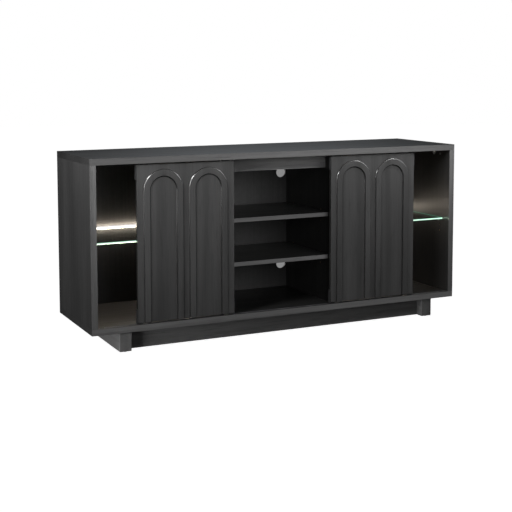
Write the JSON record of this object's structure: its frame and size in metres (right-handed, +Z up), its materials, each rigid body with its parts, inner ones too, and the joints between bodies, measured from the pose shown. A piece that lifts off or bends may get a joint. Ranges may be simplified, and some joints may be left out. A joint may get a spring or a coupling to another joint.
{
  "type": "media cabinet",
  "caption": "Low dark wood-grain media cabinet: arched doors roll on a full-width track past open bays with wooden shelves and lit glass shelves, on a recessed base.",
  "frame": {"origin": "on the floor, under the middle of the cabinet's width and depth", "axes": "+X to the right seen from the front, +Y from the front to the back, +Z up"},
  "size_m": [1.473, 0.395, 0.667],
  "materials": {
    "carcass_board": "charcoal wood-grain laminate on particle board, grain lengthwise",
    "side_board": "charcoal wood-grain laminate on particle board, grain upright",
    "shelf_board": "charcoal wood-grain laminate on particle board, grain lengthwise",
    "door_board": "charcoal wood-grain foil pressed over a milled board, grain upright",
    "base_board": "charcoal wood-grain laminate on particle board",
    "back_board": "thin board with a dark matt paper face",
    "shelf_glass": "clear float glass with polished green edges",
    "light_housing": "satin anodised strip",
    "light_lens": "milky lens, lit warm white",
    "pin_steel": "nickel-plated pins",
    "clear_sleeve": "clear soft sleeve",
    "track_aluminium": "dark anodised channel",
    "screw_steel": "zinc-plated steel",
    "cam_zinc": "die-cast zinc",
    "stop_rubber": "matt black rubber",
    "glide_plastic": "hard black plastic",
    "fitting_plastic": "moulded black plastic",
    "wheel_nylon": "off-white nylon",
    "plug_plastic": "grey moulded plastic",
    "dowel_wood": "plain beech"
  },
  "bodies": {
    "cabinet": {"top_panel": "carcass_board", "bottom_panel": "carcass_board", "left_side_panel": "side_board", "right_side_panel": "side_board", "left_divider": "side_board", "right_divider": "side_board", "centre_top_rail": "carcass_board", "left_back_board": "back_board", "centre_back_board": "back_board", "right_back_board": "back_board", "upper_shelf": "shelf_board", "lower_shelf": "shelf_board", "left_glass_shelf": "shelf_glass", "right_glass_shelf": "shelf_glass", "left_light_bar": "light_housing", "right_light_bar": "light_housing", "left_light_lens": "light_lens", "right_light_lens": "light_lens", "shelf_pins": "pin_steel", "glass_shelf_pins": "pin_steel", "glass_pin_sleeves": "clear_sleeve", "bottom_track": "track_aluminium", "top_track": "track_aluminium", "track_screws": "screw_steel", "track_end_stops": "stop_rubber", "left_base_runner": "base_board", "right_base_runner": "base_board", "front_base_rail": "base_board", "rear_base_rail": "base_board", "floor_glides": "glide_plastic", "base_screws": "screw_steel", "carcass_screws": "screw_steel", "cam_locks": "cam_zinc", "cam_bolts": "screw_steel", "dowels": "dowel_wood", "hole_plugs": "plug_plastic", "back_board_screws": "screw_steel"},
    "left_sliding_door": {"left_door": "door_board", "left_door_wheel_housings": "fitting_plastic", "left_door_axles": "screw_steel", "left_door_top_guides": "fitting_plastic"},
    "left_wheel_a": {"left_door_wheel_a": "wheel_nylon"},
    "left_wheel_b": {"left_door_wheel_b": "wheel_nylon"},
    "right_sliding_door": {"right_door": "door_board", "right_door_wheel_housings": "fitting_plastic", "right_door_axles": "screw_steel", "right_door_top_guides": "fitting_plastic"},
    "right_wheel_a": {"right_door_wheel_a": "wheel_nylon"},
    "right_wheel_b": {"right_door_wheel_b": "wheel_nylon"}
  },
  "joints": [
    {"name": "left_door_slide", "type": "slide", "parent": "cabinet", "child": "left_sliding_door", "axis": [1, 0, 0], "range_m": [-0.141, 0.201]},
    {"name": "left_wheel_a_spin", "type": "hinge", "parent": "left_sliding_door", "child": "left_wheel_a", "pos_m": [-0.5395, -0.1835, 0.097], "axis": [0, 1, 0], "continuous": true},
    {"name": "left_wheel_b_spin", "type": "hinge", "parent": "left_sliding_door", "child": "left_wheel_b", "pos_m": [-0.2345, -0.1835, 0.097], "axis": [0, 1, 0], "continuous": true},
    {"name": "right_door_slide", "type": "slide", "parent": "cabinet", "child": "right_sliding_door", "axis": [1, 0, 0], "range_m": [-0.1865, 0.1555]},
    {"name": "right_wheel_a_spin", "type": "hinge", "parent": "right_sliding_door", "child": "right_wheel_a", "pos_m": [0.22, -0.1835, 0.097], "axis": [0, 1, 0], "continuous": true},
    {"name": "right_wheel_b_spin", "type": "hinge", "parent": "right_sliding_door", "child": "right_wheel_b", "pos_m": [0.525, -0.1835, 0.097], "axis": [0, 1, 0], "continuous": true}
  ],
  "couplings": [
    {"joint": "left_wheel_a_spin", "follows": "left_door_slide", "rad_per_m": 90.909},
    {"joint": "left_wheel_b_spin", "follows": "left_door_slide", "rad_per_m": 90.909},
    {"joint": "right_wheel_a_spin", "follows": "right_door_slide", "rad_per_m": 90.909},
    {"joint": "right_wheel_b_spin", "follows": "right_door_slide", "rad_per_m": 90.909}
  ]
}
